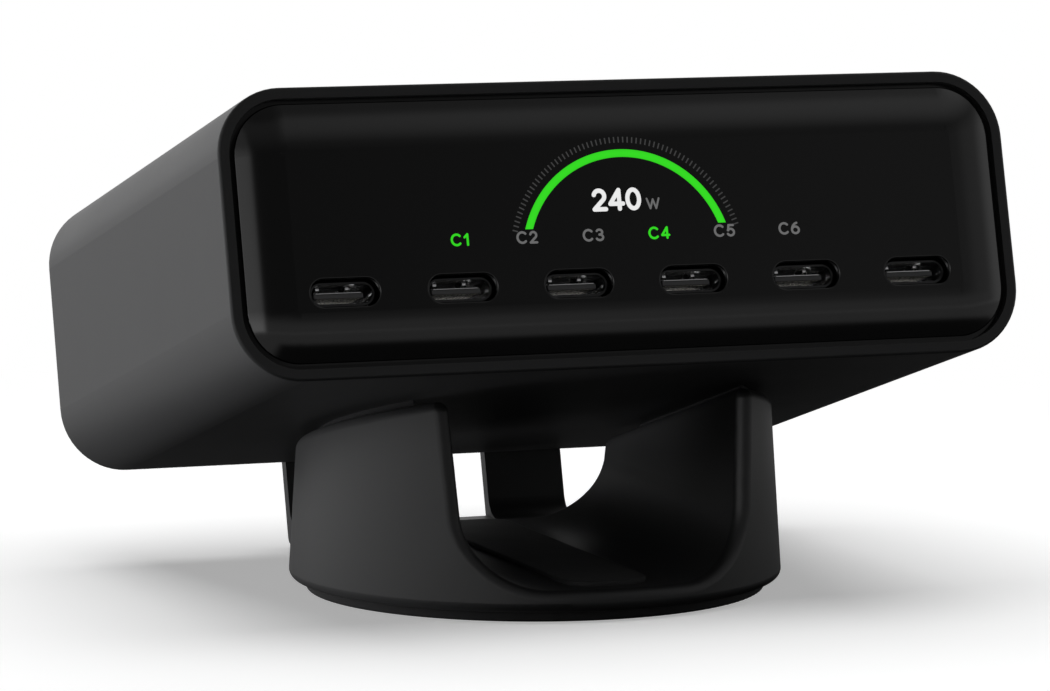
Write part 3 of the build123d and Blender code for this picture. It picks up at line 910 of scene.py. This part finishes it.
class CHARGER_OT_stand(bpy.types.Operator):
    """Finish the stand, its pads and its feet"""

    bl_idname = "charger.stand"
    bl_label = "Stand"

    def execute(self, context):
        look = context.scene.charger_finishes
        dress("stand", moulded_finish("stand_satin", look.stand, look.stand_roughness, 0.3 * MM, 0.008 * MM))
        soft = soft_finish("soft_silicone", look.pad)
        for node in ("saddle_pad_left", "saddle_pad_right", "floor_strip", "foot_pad", "tail_foot_left",
                     "tail_foot_right", "stop_pad_left", "stop_pad_right"):
            dress(node, soft)
        return {"FINISHED"}


class CHARGER_OT_inside(bpy.types.Operator):
    """Finish the inlet, the boards and the parts on them"""

    bl_idname = "charger.inside"
    bl_label = "Inlet and inside"

    def execute(self, context):
        look = context.scene.charger_finishes
        dark = moulded_finish("inlet_moulding", look.dark, 0.45, 0.2 * MM, 0.006 * MM)
        finishes = {
            "ac_inlet": dark, "tray": dark, "rectifier": dark,
            "ac_pins": metal_finish("pin_plating", (0.72, 0.71, 0.68), 0.22, PLATED),
            "display": smoked_finish("display_glass", (0.004, 0.004, 0.005), 0.15),
        }
        board = board_finish("solder_mask", (0.012, 0.07, 0.035))
        ferrite = speckled_finish("ferrite_grey", (0.035, 0.035, 0.038), 0.6, 0.5 * MM)
        copper = winding_finish("copper_wire", (0.62, 0.28, 0.12))
        sleeved = speckled_finish("can_sleeve", (0.02, 0.024, 0.04), 0.35, 1.2 * MM)
        cased = speckled_finish("part_case", (0.42, 0.27, 0.04), 0.4, 0.8 * MM)
        milled = speckled_finish("milled_aluminium", (0.75, 0.75, 0.77), 0.38, 0.4 * MM, 1.0)
        for node in ("display_board", "port_board", "main_board"):
            finishes[node] = board
        for node in frame["nodes"]:
            if node.endswith("_core") or node.startswith("inductor"):
                finishes[node] = ferrite
            elif node.endswith("_coil"):
                finishes[node] = copper
            elif node.startswith(("output_cap", "bulk_cap")):
                finishes[node] = sleeved
            elif node in ("film_cap", "fuse"):
                finishes[node] = cased
            elif node in ("sink_primary", "sink_secondary", "heat_spreader"):
                finishes[node] = milled
        for node, material in finishes.items():
            dress(node, material)
        return {"FINISHED"}


class CHARGER_OT_stage(bpy.types.Operator):
    """Add the floor, the lamps, the surroundings and the camera"""

    bl_idname = "charger.stage"
    bl_label = "Stage"

    def execute(self, context):
        given = context.scene.charger_stage
        floor = [self.floor(given)]
        mouths = [piece for piece in context.scene.objects if piece.name.startswith(("usb_", "receptacle_"))]
        self.surroundings(context, given)
        self.lamp("floor_softbox", floor, "INCLUDE")
        self.lamp("left_softbox", floor, "EXCLUDE")
        self.lamp("back_softbox", floor, "EXCLUDE")
        small = self.lamp("mouth_softbox", mouths, "INCLUDE")
        small.visible_glossy = True
        self.camera(context, given)
        context.scene.view_settings.view_transform = "Standard"
        return {"FINISHED"}

    def floor(self, given):
        """White floor with a shadow for the camera, and a dark one with a grey card for mirror images."""
        work = bmesh.new()
        bmesh.ops.create_grid(work, x_segments=8, y_segments=8, size=given.floor_size / 2)
        material, graph = new_material("floor_white")
        camera, glossy, through, length = graph.ray(
            "Is Camera Ray", "Is Glossy Ray", "Is Transmission Ray", "Ray Length")
        seen = (camera + through + glossy * graph.smooth(length, *MIRRORED_WHITE)).math("MINIMUM", 1.0)
        place = object_place(graph)
        fleck = graph.noise(place, 0.02, 2.0)
        white = graph.add("ShaderNodeBsdfDiffuse", None, {
            "Color": graph.blend(fleck, (0.84, 0.84, 0.84), (0.86, 0.86, 0.86))})
        near = graph.add("ShaderNodeAddShader", None, {0: white, 1: graph.glow(given.floor_lift)})
        pale = graph.mix(graph.smooth(graph.reach(place), *SHADOW_FADE), near, graph.glow(1.0))
        dark = graph.add("ShaderNodeBsdfDiffuse", None, {"Color": (0.06, 0.06, 0.06, 1.0)})
        beside = graph.smooth(graph.parts(place)[0], *MIRRORED_LEFT)
        clear = graph.smooth(length, *MIRRORED_CARD).math("MAXIMUM", beside)
        low = graph.mix(glossy * clear, dark, graph.glow(given.card))
        graph.node("ShaderNodeOutputMaterial", None, {"Surface": graph.mix(seen, low, pale)})
        floor = mesh_piece("floor", work, material, Matrix.Identity(4))
        floor.visible_shadow = False
        return floor

    def surroundings(self, context, given):
        """White for the camera, soft boxes and cards for mirror images, and a little light all round."""
        world = bpy.data.worlds.new("studio")
        context.scene.world = world
        world.use_nodes = True
        world.node_tree.nodes.clear()
        graph = Graph(world.node_tree)
        camera, glossy, through = graph.ray("Is Camera Ray", "Is Glossy Ray", "Is Transmission Ray")
        right, back, up = graph.parts(graph.add("ShaderNodeTexCoord", None, None, "Generated"))
        # A low card in front
        front = given.card * graph.smooth(up, 0.38, 0.1) * graph.smooth(back, 0.1, -0.3)
        # A bright wall on the left, weaker towards its top
        left = graph.smooth(right, -0.36, -0.46) * (2.3 - 1.9 * graph.smooth(up, 0.0, 0.6))
        # A wall on the right that brightens in steps
        beside = (0.2 * graph.smooth(right, 0.25, 0.5) + 0.14 * graph.smooth(right, 0.5, 0.75)
                  + 0.35 * graph.smooth(right, 0.86, 0.98)) * graph.smooth(up, 0.75, 0.3)
        # A light box above, weaker straight overhead and on the left
        above = (0.6 * graph.smooth(up, 0.4, 0.8) - 0.42 * graph.smooth(up, 0.84, 0.93)) * (
            0.25 + 0.75 * graph.smooth(right, 0.1, 0.45))
        # A bright wall behind
        behind = graph.smooth(back, 0.3, 0.9)
        mirrored = front.math("MAXIMUM", left).math("MAXIMUM", beside).math("MAXIMUM", above)
        mirrored = mirrored.math("MAXIMUM", behind) + 0.05
        light = (glossy * mirrored + given.ambient).math("MAXIMUM", camera + through)
        sky = graph.add("ShaderNodeBackground", None, {"Strength": light})
        graph.node("ShaderNodeOutputWorld", None, {"Surface": sky})

    def lamp(self, name, pieces, reach):
        """Soft area lamp for some pieces alone or for all but them, without a mirror image."""
        place, width, height, power = LAMPS[name]
        data = bpy.data.lights.new(name, "AREA")
        data.shape = "RECTANGLE"
        data.size = width
        data.size_y = height
        data.energy = power
        lamp = link(bpy.data.objects.new(name, data))
        lamp.location = place
        lamp.rotation_euler = (TARGET - Vector(place)).to_track_quat("-Z", "Y").to_euler()
        lamp.visible_glossy = False
        lit = bpy.data.collections.new(f"{name}_reach")
        for index, piece in enumerate(pieces):
            lit.objects.link(piece)
            lit.collection_objects[index].light_linking.link_state = reach
        lamp.light_linking.receiver_collection = lit
        return lamp

    def camera(self, context, given):
        """Camera at the picture's angle."""
        data = bpy.data.cameras.new("camera")
        data.sensor_width = 36.0
        data.lens = given.lens
        camera = link(bpy.data.objects.new("camera", data))
        camera.location = given.camera_place
        camera.rotation_euler = Euler(given.camera_turn)
        context.scene.camera = camera


# Sidebar and registration


class CHARGER_PT_panel(bpy.types.Panel):
    """Sidebar panel with the charger's sizes and steps"""

    bl_label = "Charger"
    bl_idname = "CHARGER_PT_panel"
    bl_space_type = "VIEW_3D"
    bl_region_type = "UI"
    bl_category = "Charger"

    def draw(self, context):
        for name, group in GROUPS.items():
            box = self.layout.box()
            for key in group.__annotations__:
                box.prop(getattr(context.scene, name), key)
        for step in STEPS:
            self.layout.operator(step.bl_idname)


GROUPS = {
    "charger_finishes": ChargerFinishes,
    "charger_gauge": ChargerGauge,
    "charger_receptacle": ChargerReceptacle,
    "charger_stage": ChargerStage,
}
STEPS = (
    CHARGER_OT_shells, CHARGER_OT_receptacles, CHARGER_OT_gauge, CHARGER_OT_stand, CHARGER_OT_inside,
    CHARGER_OT_stage)


def register():
    """Register the classes and hang the sizes on the scene."""
    for group in (*GROUPS.values(), *STEPS, CHARGER_PT_panel):
        bpy.utils.register_class(group)
    for name, group in GROUPS.items():
        setattr(bpy.types.Scene, name, PointerProperty(type=group))


def unregister():
    """Take the sizes off the scene and drop the classes."""
    for name in GROUPS:
        delattr(bpy.types.Scene, name)
    for group in reversed((*GROUPS.values(), *STEPS, CHARGER_PT_panel)):
        bpy.utils.unregister_class(group)


def main():
    """Build the looks step by step."""
    register()
    bpy.ops.charger.shells()
    bpy.ops.charger.receptacles()
    bpy.ops.charger.gauge()
    bpy.ops.charger.stand()
    bpy.ops.charger.inside()
    bpy.ops.charger.stage()


if __name__ == "__main__":
    main()
